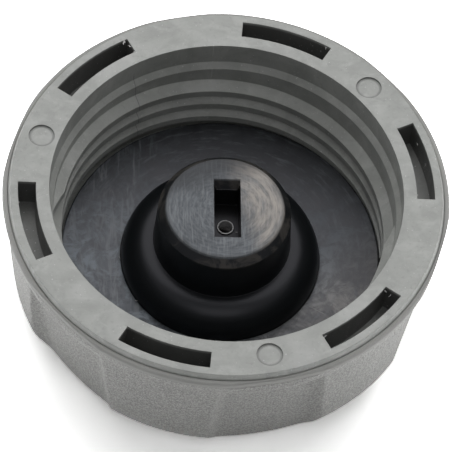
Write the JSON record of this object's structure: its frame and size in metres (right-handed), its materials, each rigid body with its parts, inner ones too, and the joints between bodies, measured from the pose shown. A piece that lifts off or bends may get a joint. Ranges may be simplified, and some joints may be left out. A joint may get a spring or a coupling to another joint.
{
  "type": "fuel filler cap",
  "caption": "Round screw cap for a fuel tank neck: lobed grip cover, internal two-start thread, gasket and a central hub with sprung pressure and vacuum valves.",
  "frame": {"origin": "on the cap's axis, in the plane of its closed face", "axes": "+Z out of the open, threaded end; the long pocket in the hub runs along Y"},
  "size_m": [0.0934, 0.0934, 0.035],
  "materials": {
    "cover_plastic": "fine spark-eroded grain",
    "body_plastic": "smooth moulded",
    "gasket_rubber": "bloomed",
    "hub_plastic": "satin black",
    "seal_rubber": "smooth",
    "spring_steel": "drawn wire",
    "valve_plastic": "natural acetal",
    "filter_foam": "open-cell foam"
  },
  "bodies": {
    "cap": {"grip_cover": "cover_plastic", "threaded_body": "body_plastic", "sealing_gasket": "gasket_rubber", "vent_housing": "hub_plastic", "housing_o_ring": "seal_rubber", "housing_lock_ring": "spring_steel", "valve_plate": "valve_plastic", "dust_filter": "filter_foam", "filter_retaining_ring": "spring_steel", "pressure_spring": "spring_steel"},
    "pressure_valve": {"pressure_valve_disc": "valve_plastic", "pressure_valve_seal": "seal_rubber", "vacuum_spring": "spring_steel"},
    "vacuum_valve": {"vacuum_valve_stem": "valve_plastic", "vacuum_valve_seal": "seal_rubber", "vacuum_spring_keeper": "spring_steel"}
  },
  "joints": [
    {"name": "pressure_valve_slide", "type": "slide", "parent": "cap", "child": "pressure_valve", "axis": [0, 0, -1], "range_m": [0, 0.002], "stiffness_N_per_m": 400, "springref_m": -0.002, "deforming": ["pressure_spring"]},
    {"name": "vacuum_valve_slide", "type": "slide", "parent": "pressure_valve", "child": "vacuum_valve", "axis": [0, 0, 1], "range_m": [0, 0.0012], "stiffness_N_per_m": 100, "springref_m": -0.002, "deforming": ["vacuum_spring"]}
  ]
}
